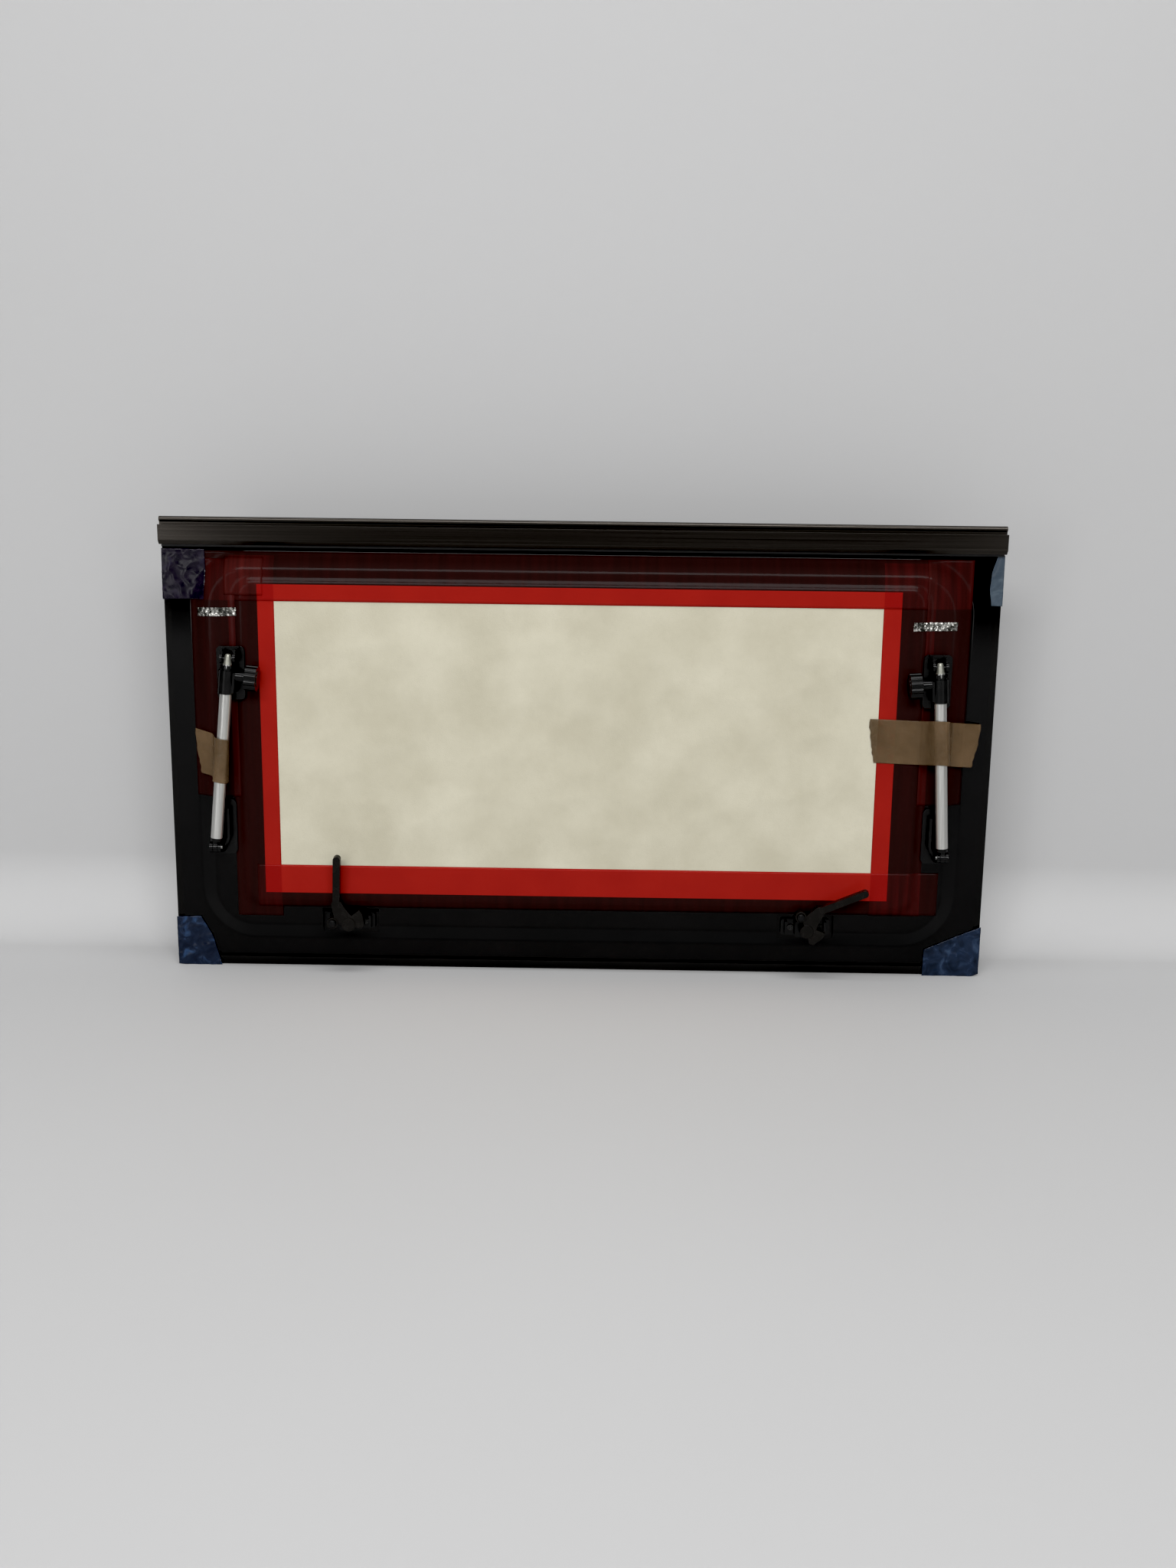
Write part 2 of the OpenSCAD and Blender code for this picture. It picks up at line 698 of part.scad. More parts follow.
module latch_lever(side) color([0.06, 0.06, 0.05])
    on_lever(side) difference() {
        union() {
            slab(blade_y, cam_y - blade_y) blade_outline();
            rod_y(hub_r, hub_y, cam_y - hub_y);
            translate([button_at[0], 0, button_at[1]]) rod_y(button_r + button_wall, hub_y, cam_y - hub_y);
            lever_arm();
        }
        rod_y(spindle_r + press_gap, hub_y + 1.5 - press_gap, 20);
        translate([button_at[0], 0, button_at[1]])
            rod_y(button_r + run_gap, hub_y - 5, button_floor - hub_y + 5);
    }

// Broad blade: the arm leaves it at the top, and its tongue reaches down past the pivot
module blade_outline() {
    polygon([
        [3, 12.5], [0.5, 5], [-6, -13], [-3, -17], [9, -17], [15, -14.5], [9.5, -4.7],
        [18, 0.5], [27, 4], [31, 11], [26, 15.5], [9, 14.8]
    ]);
}

// Bar rising off the pane towards its tip, with a round end
module lever_arm() {
    run = (lever_len - lever_w / 2 - arm_root[0]) / cos(arm_drop);
    translate([arm_root[0], blade_y + arm_t / 2, arm_root[1]])
        rotate([0, arm_drop, 0]) rotate([0, 0, -arm_tilt]) {
            translate([0, -arm_t / 2, -lever_w / 2]) cube([run, arm_t, lever_w]);
            for (x = [0, run]) translate([x, 0, 0]) rod_y(lever_w / 2, -arm_t / 2, arm_t);
        }
}

module latch_button(side) color([0.1, 0.1, 0.1])
    on_lever(side) translate([button_at[0], 0, button_at[1]]) {
        rod_y(button_r, hub_y - button_travel - button_proud,
            button_floor - spring_len - hub_y + button_travel + button_proud);
        rod_y(button_r - 1, hub_y - button_travel - button_proud - 0.6, 1);
    }

module latch_spring(side) color([0.5, 0.5, 0.48])
    on_lever(side) translate([button_at[0], button_floor - spring_len + 0.1, button_at[1]])
        rotate([-90, 0, 0]) coil(2.6, 0.35, spring_len - 0.2, 3);

// Round wire helix along +Z
module coil(r, wire, h, turns) {
    per_turn = 16;
    sides = 8;
    rings = per_turn * turns;
    rise = h - 2 * wire;
    points = [
        for (i = [0 : rings], k = [0 : sides - 1])
            let (a = i * 360 / per_turn, b = k * 360 / sides, d = r + wire * cos(b))
                [d * cos(a), d * sin(a), wire + rise * i / rings + wire * sin(b)]
    ];
    walls = [
        for (i = [0 : rings - 1], k = [0 : sides - 1])
            let (n = (k + 1) % sides)
                [i * sides + k, (i + 1) * sides + k, (i + 1) * sides + n, i * sides + n]
    ];
    ends = [
        [for (k = [0 : sides - 1]) k],
        [for (k = [sides - 1 : -1 : 0]) rings * sides + k]
    ];
    polyhedron(points, concat(walls, ends));
}

outer_pane();
inner_pane();
bond_seam();
hinge_rail();
rail_gasket();
masking_paper();
film_top();
film_bottom();
film_left_inner();
film_left_outer();
film_right_inner();
film_right_outer();
film_patch();
foil_labels();
blue_tape_top_left();
blue_tape_top_right();
blue_tape_bottom_left();
blue_tape_bottom_right();
stay_base(-1);  // left_stay_base
stay_pin(-1);  // left_stay_pin
tube_eye(-1);  // left_tube_eye
tube(-1);  // left_tube
clamp_housing(-1);  // left_clamp_housing
clamp_shoe(-1);  // left_clamp_shoe
pack_tape(-1);  // left_pack_tape
knob(-1);  // left_knob
knob_spindle(-1);  // left_knob_spindle
sliding_rod(-1);  // left_rod
rod_tip(-1);  // left_rod_tip
frame_bracket(-1);  // left_frame_bracket
bracket_pin(-1);  // left_bracket_pin
stay_base(1);  // right_stay_base
stay_pin(1);  // right_stay_pin
tube_eye(1);  // right_tube_eye
tube(1);  // right_tube
clamp_housing(1);  // right_clamp_housing
clamp_shoe(1);  // right_clamp_shoe
pack_tape(1);  // right_pack_tape
knob(1);  // right_knob
knob_spindle(1);  // right_knob_spindle
sliding_rod(1);  // right_rod
rod_tip(1);  // right_rod_tip
frame_bracket(1);  // right_frame_bracket
bracket_pin(1);  // right_bracket_pin
latch_base(-1);  // left_latch_base
latch_screws(-1);  // left_latch_screws
latch_spindle(-1);  // left_latch_spindle
latch_lever(-1);  // left_latch_lever
latch_button(-1);  // left_latch_button
latch_spring(-1);  // left_latch_spring
latch_base(1);  // right_latch_base
latch_screws(1);  // right_latch_screws
latch_spindle(1);  // right_latch_spindle
latch_lever(1);  // right_latch_lever
latch_button(1);  // right_latch_button
latch_spring(1);  // right_latch_spring
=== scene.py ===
import math

import bmesh
import bpy
from mathutils import Matrix, Vector, noise


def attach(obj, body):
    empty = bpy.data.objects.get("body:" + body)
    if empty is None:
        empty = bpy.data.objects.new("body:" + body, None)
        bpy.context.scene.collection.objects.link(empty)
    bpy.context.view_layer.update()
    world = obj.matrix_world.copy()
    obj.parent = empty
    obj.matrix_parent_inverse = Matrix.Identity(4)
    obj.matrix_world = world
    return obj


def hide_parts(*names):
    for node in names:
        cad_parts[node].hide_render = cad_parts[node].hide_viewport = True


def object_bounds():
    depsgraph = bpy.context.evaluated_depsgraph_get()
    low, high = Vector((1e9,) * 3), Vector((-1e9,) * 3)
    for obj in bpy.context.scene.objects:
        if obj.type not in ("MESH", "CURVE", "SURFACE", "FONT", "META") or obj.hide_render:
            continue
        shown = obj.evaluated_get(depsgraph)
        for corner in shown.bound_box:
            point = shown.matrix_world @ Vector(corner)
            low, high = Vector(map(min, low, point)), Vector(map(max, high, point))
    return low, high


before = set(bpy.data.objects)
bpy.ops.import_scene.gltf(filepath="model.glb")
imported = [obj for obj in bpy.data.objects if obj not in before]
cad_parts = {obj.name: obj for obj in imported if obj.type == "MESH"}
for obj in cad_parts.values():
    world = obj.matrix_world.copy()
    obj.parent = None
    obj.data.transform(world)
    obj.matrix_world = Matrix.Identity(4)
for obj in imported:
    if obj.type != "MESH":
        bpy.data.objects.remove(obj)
cad_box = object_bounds()
SIDES = ("left", "right")


# ---------------------------------------------------------------- outer pane
# The outer pane is one 4 mm sheet of smoked acrylic, cut to the sash's outline.
# Its edges are polished round, and a low rounded lip runs along the bottom edge.
# Every part of the sash is bonded, clipped or screwed to it.

MM = 0.001


def node_group(name, inputs, outputs):
    """An empty shader group with named sockets, and its two end nodes"""
    group = bpy.data.node_groups.new(name, "ShaderNodeTree")
    for label, kind, value in inputs:
        socket = group.interface.new_socket(label, in_out="INPUT", socket_type=kind)
        if value is not None:
            socket.default_value = value
    for label, kind in outputs:
        group.interface.new_socket(label, in_out="OUTPUT", socket_type=kind)
    start = group.nodes.new("NodeGroupInput")
    end = group.nodes.new("NodeGroupOutput")
    return group, start, end


def add_node(tree, kind, links=(), **settings):
    """A node with its settings, and with links given as (its input, another socket or a value)"""
    node = tree.nodes.new(kind)
    for key, value in settings.items():
        setattr(node, key, value)
    for key, source in links:
        if isinstance(source, bpy.types.NodeSocket):
            tree.links.new(source, node.inputs[key])
        else:
            node.inputs[key].default_value = source
    return node


def calc(tree, operation, a, b=0.5, clamp=False):
    """The result of one sum on two sockets or values"""
    return add_node(
        tree, "ShaderNodeMath", [(0, a), (1, b)], operation=operation, use_clamp=clamp
    ).outputs[0]


def blend_colour(tree, factor, a, b, mode="MIX"):
    """The colour between a and b"""
    node = add_node(tree, "ShaderNodeMix", data_type="RGBA", blend_type=mode)
    for key, source in ((0, factor), (6, a), (7, b)):
        if isinstance(source, bpy.types.NodeSocket):
            tree.links.new(source, node.inputs[key])
        else:
            node.inputs[key].default_value = source
    return node.outputs[2]


def remap(tree, value, low, high, to_low=0.0, to_high=1.0):
    """A value carried from one range to another, clamped"""
    return add_node(
        tree,
        "ShaderNodeMapRange",
        [("Value", value), ("From Min", low), ("From Max", high), ("To Min", to_low), ("To Max", to_high)],
    ).outputs[0]


def build_finish_group():
    """Mottled colour, uneven gloss and a fine grain, for plastics, metals and rubber"""
    group, start, end = node_group(
        "finish_variation",
        [
            ("Colour", "NodeSocketColor", (0.02, 0.02, 0.02, 1)),
            ("Lighter", "NodeSocketColor", (0.04, 0.04, 0.04, 1)),
            ("Mottle Scale", "NodeSocketFloat", 40.0),
            ("Roughness", "NodeSocketFloat", 0.4),
            ("Roughness Shift", "NodeSocketFloat", 0.1),
            ("Grain Scale", "NodeSocketFloat", 2500.0),
            ("Grain Height", "NodeSocketFloat", 0.2),
        ],
        [("Colour", "NodeSocketColor"), ("Roughness", "NodeSocketFloat"), ("Normal", "NodeSocketVector")],
    )
    place = add_node(group, "ShaderNodeTexCoord").outputs["Object"]
    mottle = add_node(
        group, "ShaderNodeTexNoise",
        [("Vector", place), ("Scale", start.outputs["Mottle Scale"]), ("Detail", 5.0), ("Roughness", 0.6)],
    ).outputs[0]
    amount = remap(group, mottle, 0.35, 0.7)
    grain = add_node(
        group, "ShaderNodeTexNoise",
        [("Vector", place), ("Scale", start.outputs["Grain Scale"]), ("Detail", 3.0)],
    ).outputs[0]
    group.links.new(
        blend_colour(group, amount, start.outputs["Colour"], start.outputs["Lighter"]),
        end.inputs["Colour"],
    )
    shift = calc(group, "MULTIPLY", calc(group, "SUBTRACT", mottle, 0.5), start.outputs["Roughness Shift"])
    group.links.new(
        calc(group, "ADD", start.outputs["Roughness"], calc(group, "MULTIPLY", shift, 2.0)),
        end.inputs["Roughness"],
    )
    bump = add_node(
        group, "ShaderNodeBump",
        [("Strength", start.outputs["Grain Height"]), ("Distance", 0.0001), ("Height", grain)],
    ).outputs[0]
    group.links.new(bump, end.inputs["Normal"])
    return group


def new_material(name, **constants):
    """A material and its main shader, with the sockets that are the same all over"""
    material = bpy.data.materials.new(name)
    material.use_nodes = True
    shader = material.node_tree.nodes["Principled BSDF"]
    for key, value in constants.items():
        shader.inputs[key.replace("_", " ")].default_value = value
    return material, material.node_tree, shader


finish_variation = build_finish_group()


def finished(name, colour, lighter, mottle, rough, shift, grain, height, **constants):
    """A material whose colour, gloss and grain come from the shared finish"""
    material, tree, shader = new_material(name, **constants)
    effect = add_node(tree, "ShaderNodeGroup", node_tree=finish_variation)
    for key, value in (
        ("Colour", (*colour, 1)), ("Lighter", (*lighter, 1)), ("Mottle Scale", mottle),
        ("Roughness", rough), ("Roughness Shift", shift), ("Grain Scale", grain), ("Grain Height", height),
    ):
        effect.inputs[key].default_value = value
    tree.links.new(effect.outputs["Colour"], shader.inputs["Base Color"])
    tree.links.new(effect.outputs["Roughness"], shader.inputs["Roughness"])
    tree.links.new(effect.outputs["Normal"], shader.inputs["Normal"])
    return material


def make_piece(name, bm, material, body, slot, *nodes, smooth=40):
    """The finished object of a mesh: smooth but for its sharp edges, and riding on its body"""
    mesh = bpy.data.meshes.new(name)
    bm.to_mesh(mesh)
    bm.free()
    mesh.shade_smooth()
    mesh.set_sharp_from_angle(angle=math.radians(smooth))
    mesh.materials.append(material)
    piece = bpy.data.objects.new(name, mesh)
    bpy.context.scene.collection.objects.link(piece)
    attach(piece, body)
    if nodes:
        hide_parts(*nodes)
    return piece


def bevel_edges(bm, edges, width, segments):
    """The given edges rounded over"""
    bmesh.ops.bevel(
        bm, geom=edges, offset=width, offset_type="OFFSET", affect="EDGES", segments=segments,
        profile=0.5, material=-1, clamp_overlap=True, loop_slide=True,
    )


def cad_mesh(node):
    """The node's shape as whole faces: its triangles are joined and flat ones made one"""
    bm = bmesh.new()
    bm.from_mesh(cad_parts[node].data)
    bmesh.ops.remove_doubles(bm, verts=bm.verts, dist=0.002 * MM)
    bmesh.ops.dissolve_limit(bm, angle_limit=math.radians(0.6), verts=bm.verts, edges=bm.edges)
    return bm


def edges_between(bm, low, high):
    """Outer edges whose two faces turn by an angle between low and high degrees"""
    found = []
    for edge in bm.edges:
        if len(edge.link_faces) == 2:
            turn = math.degrees(edge.calc_face_angle())
            if low <= turn <= high:
                found.append(edge)
    return found


def rounded_copy(node, body, slot, material, width, limit=32, segments=3):
    """The node's own shape with every sharp edge rounded over, as a moulded or machined part has it"""
    bm = cad_mesh(node)
    bevel_edges(bm, edges_between(bm, limit, 180), width * MM, segments)
    piece = make_piece(node + "_finished", bm, material, body, slot, node)
    piece.modifiers.new("even_faces", "WEIGHTED_NORMAL").keep_sharp = True
    return piece


smoked_acrylic = finished(
    "smoked acrylic", (0.0012, 0.0011, 0.001), (0.003, 0.0027, 0.0024), 9,
    0.07, 0.05, 900, 0.02, Specular_IOR_Level=0.2, IOR=1.49,
)
rounded_copy("outer_pane", "sash", "smoked_acrylic", smoked_acrylic, 1.2, limit=50, segments=4)


# ---------------------------------------------------------------- inner pane and bond
# The inner pane is a vacuum-formed acrylic sheet with a black painted border.
# Its wall, ledge and raised field have the soft edges of forming, and two pockets take the latches.
# A black adhesive seam bonds its flange to the outer pane.

CREST_ROUND = 2.0

black_acrylic = finished(
    "black acrylic", (0.001, 0.001, 0.001), (0.0022, 0.002, 0.002), 14,
    0.06, 0.04, 700, 0.03, Specular_IOR_Level=0.2, IOR=1.49,
)
bond_black = finished(
    "bond black", (0.004, 0.004, 0.004), (0.007, 0.007, 0.007), 60, 0.6, 0.1, 1800, 0.3,
)

pane = cad_mesh("inner_pane")
bevel_edges(pane, edges_between(pane, 20, 36), CREST_ROUND * MM, 5)
bevel_edges(pane, edges_between(pane, 60, 180), 0.5 * MM, 2)
inner_pane = make_piece("inner_pane_finished", pane, black_acrylic, "sash", "black_acrylic", "inner_pane")
inner_pane.modifiers.new("even_faces", "WEIGHTED_NORMAL").keep_sharp = True


def dress(material, *nodes):
    """The CAD node keeps its shape and takes a finished material"""
    for name in nodes:
        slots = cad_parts[name].data.materials
        if not slots:
            slots.append(material)
        for index in range(len(slots)):
            slots[index] = material


dress(bond_black, "bond_seam")


# ---------------------------------------------------------------- hinge rail and gasket
# The rail is a dark anodised aluminium extrusion that grips the pane's top edge.
# Its bead turns in the wall's hinge profile; a rubber gasket seals it against the pane.

def build_drawn_group():
    """Fine lines drawn along one axis, as on extruded or brushed metal"""
    group, start, end = node_group(
        "drawn_lines",
        [
            ("Stretch", "NodeSocketVector", (1, 1, 1)),
            ("Depth", "NodeSocketFloat", 0.1),
        ],
        [("Lines", "NodeSocketFloat"), ("Normal", "NodeSocketVector")],
    )
    place = add_node(group, "ShaderNodeTexCoord").outputs["Object"]
    stretched = add_node(
        group, "ShaderNodeVectorMath", [(0, place), (1, start.outputs["Stretch"])], operation="MULTIPLY",
    ).outputs[0]
    lines = add_node(
        group, "ShaderNodeTexNoise", [("Vector", stretched), ("Scale", 1.0), ("Detail", 4.0)],
    ).outputs[0]
    bump = add_node(
        group, "ShaderNodeBump",
        [("Strength", start.outputs["Depth"]), ("Distance", 0.0001), ("Height", lines)],
    ).outputs[0]
    group.links.new(lines, end.inputs["Lines"])
    group.links.new(bump, end.inputs["Normal"])
    return group


drawn_lines = build_drawn_group()


def drawn_metal(name, colour, lighter, stretch, depth, rough, rough_span, **constants):
    """A metal with drawn lines in its colour, gloss and surface"""
    material, tree, shader = new_material(name, **constants)
    effect = add_node(tree, "ShaderNodeGroup", node_tree=drawn_lines)
    effect.inputs["Stretch"].default_value = stretch
    effect.inputs["Depth"].default_value = depth
    lines = effect.outputs["Lines"]
    tree.links.new(
        blend_colour(tree, remap(tree, lines, 0.3, 0.7), (*colour, 1), (*lighter, 1)),
        shader.inputs["Base Color"],
    )
    tree.links.new(
        remap(tree, lines, 0.3, 0.7, rough - rough_span, rough + rough_span), shader.inputs["Roughness"]
    )
    tree.links.new(effect.outputs["Normal"], shader.inputs["Normal"])
    return material


rail_aluminium = drawn_metal(
    "rail aluminium", (0.028, 0.025, 0.022), (0.044, 0.039, 0.034), (3, 900, 900), 0.12,
    0.21, 0.04, Metallic=0.9,
)
gasket_rubber = finished(
    "gasket rubber", (0.004, 0.004, 0.004), (0.009, 0.009, 0.009), 50, 0.55, 0.1, 2200, 0.3,
)
rounded_copy("hinge_rail", "sash", "rail_aluminium", rail_aluminium, 0.2, limit=40)
dress(gasket_rubber, "rail_gasket")


# ---------------------------------------------------------------- masking paper
# A cream kraft sheet protects the clear middle of the pane in transit.
# It is cut by hand, a little out of square, and lies slightly buckled under the films.

FLANGE_Y, WALL_RISE, WALL_RUN = 3.0, 10.0, 18.3
STEP_RISE, STEP_RUN = 3.0, 5.5

FOOT = (419.4, -463.4, -33.0, 60.0)
STEP_FOOT = (372.1, -423.0, -60.0, 20.5)


def inset(x, z, outline):
    """How far a point lies inside a rounded rectangle, in mm"""
    half, low, high, r = outline
    px = abs(x) - (half - r)
    pz = abs(z - (low + high) / 2) - ((high - low) / 2 - r)
    return r - math.hypot(max(px, 0), max(pz, 0)) - min(max(px, pz), 0)


def soft_ramp(distance, run, soft):
    """0 before the slope and 1 after it, rounded at both ends"""
    steps = (-soft, -soft / 2, 0, soft / 2, soft)
    return sum(min(max((distance + s) / run, 0), 1) for s in steps) / len(steps)


def pane_front(x, z):
    """Depth of the inner pane's front face under a sheet laid on it, in mm"""
    wall = soft_ramp(inset(x, z, FOOT), WALL_RUN, 2.0)
    step = soft_ramp(inset(x, z, STEP_FOOT), STEP_RUN, 1.6)
    return FLANGE_Y - WALL_RISE * wall - STEP_RISE * step


def buckle(x, z):
    """Low waves that every sheet on the pane shares, in mm"""
    broad = noise.noise(Vector((x / 95, z / 60, 3.1)))
    fine = noise.noise(Vector(((x + z) / 38, (z - x) / 60, 8.7)))
    return 0.22 + 0.16 * broad + 0.07 * fine


def cut_sheet(outline, spacing):
    """A flat gridded sheet facing the room, cut to a convex outline given in mm"""
    xs, zs = [p[0] for p in outline], [p[1] for p in outline]
    width, height = max(xs) - min(xs), max(zs) - min(zs)
    bm = bmesh.new()
    bmesh.ops.create_grid(
        bm, x_segments=max(2, round(width / spacing)), y_segments=max(2, round(height / spacing)), size=0.5
    )
    bmesh.ops.scale(bm, vec=(width, height, 1), verts=bm.verts)
    bmesh.ops.rotate(bm, cent=(0, 0, 0), matrix=Matrix.Rotation(math.radians(90), 3, "X"), verts=bm.verts)
    bmesh.ops.translate(bm, vec=((max(xs) + min(xs)) / 2, 0, (max(zs) + min(zs)) / 2), verts=bm.verts)
    for a, b in zip(outline, outline[1:] + outline[:1]):
        bmesh.ops.bisect_plane(
            bm, geom=bm.verts[:] + bm.edges[:] + bm.faces[:], plane_co=(a[0], 0, a[1]),
            plane_no=(b[1] - a[1], 0, a[0] - b[0]), clear_outer=True,
        )
    bmesh.ops.remove_doubles(bm, verts=bm.verts, dist=0.01)
    return bm


def lay(bm, lift, extra=None):
    """Lays a cut sheet on the pane at a height in mm, and brings it to metres"""
    for v in bm.verts:
        x, z = v.co.x, v.co.z
        v.co.y = pane_front(x, z) - lift - buckle(x, z) - (extra(x, z) if extra else 0)
    bmesh.ops.scale(bm, vec=(MM, MM, MM), verts=bm.verts)


def laid_piece(name, bm, material, slot, node, thick):
    """A laid sheet with its thickness"""
    piece = make_piece(name, bm, material, "sash", slot, node)
    wall = piece.modifiers.new("thickness", "SOLIDIFY")
    wall.thickness = thick * MM
    wall.offset = 0
    return piece


def box_outline(x0, z0, x1, z1):
    """The corners of an upright rectangle, in mm"""
    return [(x0, z0), (x1, z0), (x1, z1), (x0, z1)]


def paper_waves(x, z):
    """Soft folds of the loose middle of the paper, in mm, none under the films"""
    free = min(max(inset(x, z, (326, -372, -86, 40)) / 45, 0), 1)
    fold = noise.noise(Vector(((x + 1.5 * z) / 60, (z - 0.4 * x) / 46, 1.7)))
    crease = 1 - abs(noise.noise(Vector(((x - 1.2 * z) / 80, (z + 0.3 * x) / 70, 5.2))))
    crumple = noise.noise(Vector((x / 21, z / 17, 9.4)))
    ridge = 1 - abs(noise.noise(Vector(((x + 0.7 * z) / 34, (z - 0.9 * x) / 120, 7.7))))
    return free * (0.5 + 0.3 * fold + 0.5 * crease ** 8 + 0.25 * ridge ** 12 + 0.08 * crumple)


def build_paper():
    """Cream paper: clouded, fibrous, with a few dark flecks"""
    material, tree, shader = new_material("masking paper", Specular_IOR_Level=0.25)
    place = add_node(tree, "ShaderNodeTexCoord").outputs["Object"]
    cloud = add_node(
        tree, "ShaderNodeTexNoise", [("Vector", place), ("Scale", 11.0), ("Detail", 6.0), ("Roughness", 0.6)]
    ).outputs[0]
    fibre = add_node(
        tree, "ShaderNodeTexNoise", [("Vector", place), ("Scale", 900.0), ("Detail", 4.0)]
    ).outputs[0]
    flecks = add_node(
        tree, "ShaderNodeTexVoronoi", [("Vector", place), ("Scale", 260.0), ("Randomness", 1.0)]
    ).outputs["Distance"]
    colour = blend_colour(
        tree, remap(tree, cloud, 0.35, 0.68), (0.50, 0.47, 0.362, 1), (0.60, 0.57, 0.455, 1)
    )
    colour = blend_colour(tree, remap(tree, fibre, 0.55, 0.8, 0, 0.35), colour, (0.43, 0.40, 0.30, 1))
    colour = blend_colour(tree, remap(tree, flecks, 0.03, 0.06, 0.35, 0), colour, (0.22, 0.18, 0.12, 1))
    tree.links.new(colour, shader.inputs["Base Color"])
    tree.links.new(remap(tree, cloud, 0.3, 0.7, 0.7, 0.85), shader.inputs["Roughness"])
    height = calc(tree, "ADD", calc(tree, "MULTIPLY", fibre, 0.15), cloud)
    bump = add_node(
        tree, "ShaderNodeBump", [("Strength", 0.3), ("Distance", 0.003), ("Height", height)]
    ).outputs[0]
    tree.links.new(bump, shader.inputs["Normal"])
    return material


PAPER_LIFT = 0.12
PAPER = [(-345.6, -410.7), (342.6, -404.5), (340.6, -66.9), (-346.6, -66.8)]
masking_paper = build_paper()
sheet = cut_sheet(PAPER, 5)
lay(sheet, PAPER_LIFT, paper_waves)
laid_piece("masking_paper_sheet", sheet, masking_paper, "paper", "masking_paper", 0.12)


# ---------------------------------------------------------------- red films
# Strips of red translucent polyester film hold the paper down on all four sides.
# They filter what lies under them: bright over paper, nearly black over the pane's border.
# Where strips overlap, the red is deeper over the paper and a little brighter over the border.

FILMS = {
    "film_left_inner": (0, (-378.1, -435.1, -328.1, -37)),
    "film_right_inner": (0, (322.1, -425, 378.1, -37)),
    "film_top": (1, (-420.4, -85, 418.4, -33)),
    "film_bottom": (1, (-354.6, -424, 397.1, -375.5)),
    "film_left_outer": (2, (-420.4, -300, -370.4, -41)),
    "film_right_outer": (2, (368.4, -299, 418.4, -33)),
    "film_patch": (3, (-382.1, -79, -340.1, -39)),
}


def build_span_group():
    """1 where a coordinate lies between two limits, with a soft edge"""
    group, start, end = node_group(
        "span",
        [
            ("Place", "NodeSocketFloat", 0.0),
            ("Low", "NodeSocketFloat", 0.0),
            ("High", "NodeSocketFloat", 1.0),
        ],
        [("Mask", "NodeSocketFloat")],
    )
    soft = 0.0004
    above = calc(
        group, "DIVIDE", calc(group, "SUBTRACT", start.outputs["Place"], start.outputs["Low"]), soft, True
    )
    below = calc(
        group, "DIVIDE", calc(group, "SUBTRACT", start.outputs["High"], start.outputs["Place"]), soft, True
    )
    group.links.new(calc(group, "MULTIPLY", above, below), end.inputs["Mask"])
    return group


span = build_span_group()


def box_mask(tree, x, z, x0, z0, x1, z1):
    """Mask of an upright rectangle given in mm"""
    masks = []
    for place, low, high in ((x, x0, x1), (z, z0, z1)):
        node = add_node(tree, "ShaderNodeGroup", node_tree=span)
        tree.links.new(place, node.inputs["Place"])
        node.inputs["Low"].default_value = low * MM
        node.inputs["High"].default_value = high * MM
        masks.append(node.outputs["Mask"])
    return calc(tree, "MULTIPLY", *masks)


def build_red_film():
    """Red film whose colour follows the layers and what lies under them"""
    material, tree, shader = new_material("red film", Specular_IOR_Level=0.03, IOR=1.5)
    place = add_node(tree, "ShaderNodeTexCoord").outputs["Object"]
    parts = add_node(tree, "ShaderNodeSeparateXYZ", [(0, place)]).outputs
    x, z = parts["X"], parts["Z"]
    layers = None
    for level, rect in FILMS.values():
        mask = box_mask(tree, x, z, *rect)
        layers = mask if layers is None else calc(tree, "ADD", layers, mask)
    over_paper = box_mask(tree, x, z, -346.2, -407.5, 341.4, -66.8)
    streaks = add_node(
        tree, "ShaderNodeTexNoise",
        [("Vector", add_node(
            tree, "ShaderNodeVectorMath", [(0, place), (1, (140, 1, 9))], operation="MULTIPLY"
        ).outputs[0]), ("Scale", 1.0), ("Detail", 2.0)],
    ).outputs[0]
    cloud = add_node(
        tree, "ShaderNodeTexNoise", [("Vector", place), ("Scale", 25.0), ("Detail", 4.0)]
    ).outputs[0]
    dark = blend_colour(
        tree, remap(tree, layers, 1, 2), (0.022, 0.0085, 0.0080, 1), (0.044, 0.0092, 0.0088, 1)
    )
    dark = blend_colour(tree, remap(tree, layers, 2, 3), dark, (0.064, 0.0125, 0.0115, 1))
    dark = blend_colour(tree, remap(tree, streaks, 0.35, 0.65, 0, 0.6), dark, (0.014, 0.0080, 0.0075, 1))
    bright = blend_colour(
        tree, remap(tree, layers, 1, 2), (0.30, 0.0165, 0.0125, 1), (0.24, 0.0105, 0.0095, 1)
    )
    bright = blend_colour(tree, remap(tree, cloud, 0.35, 0.7, 0, 0.3), bright, (0.22, 0.011, 0.010, 1))
    colour = blend_colour(tree, over_paper, dark, bright)
    tree.links.new(colour, shader.inputs["Base Color"])
    tree.links.new(remap(tree, cloud, 0.3, 0.7, 0.09, 0.17), shader.inputs["Roughness"])
    streak = add_node(
        tree, "ShaderNodeVectorMath", [(0, place), (1, (90, 90, 30))], operation="MULTIPLY"
    ).outputs[0]
    ripple = add_node(tree, "ShaderNodeTexNoise", [("Vector", streak), ("Scale", 1.0)]).outputs[0]
    bump = add_node(
        tree, "ShaderNodeBump", [("Strength", 0.2), ("Distance", 0.001), ("Height", ripple)]
    ).outputs[0]
    tree.links.new(bump, shader.inputs["Normal"])
    return material


red_film = build_red_film()
FILM_LIFT, LAYER = 0.35, 0.25
for node, (level, rect) in FILMS.items():
    sheet = cut_sheet(box_outline(*rect), 3)
    lay(sheet, FILM_LIFT + LAYER * level)
    laid_piece(node + "_strip", sheet, red_film, "red_film", node, 0.1)


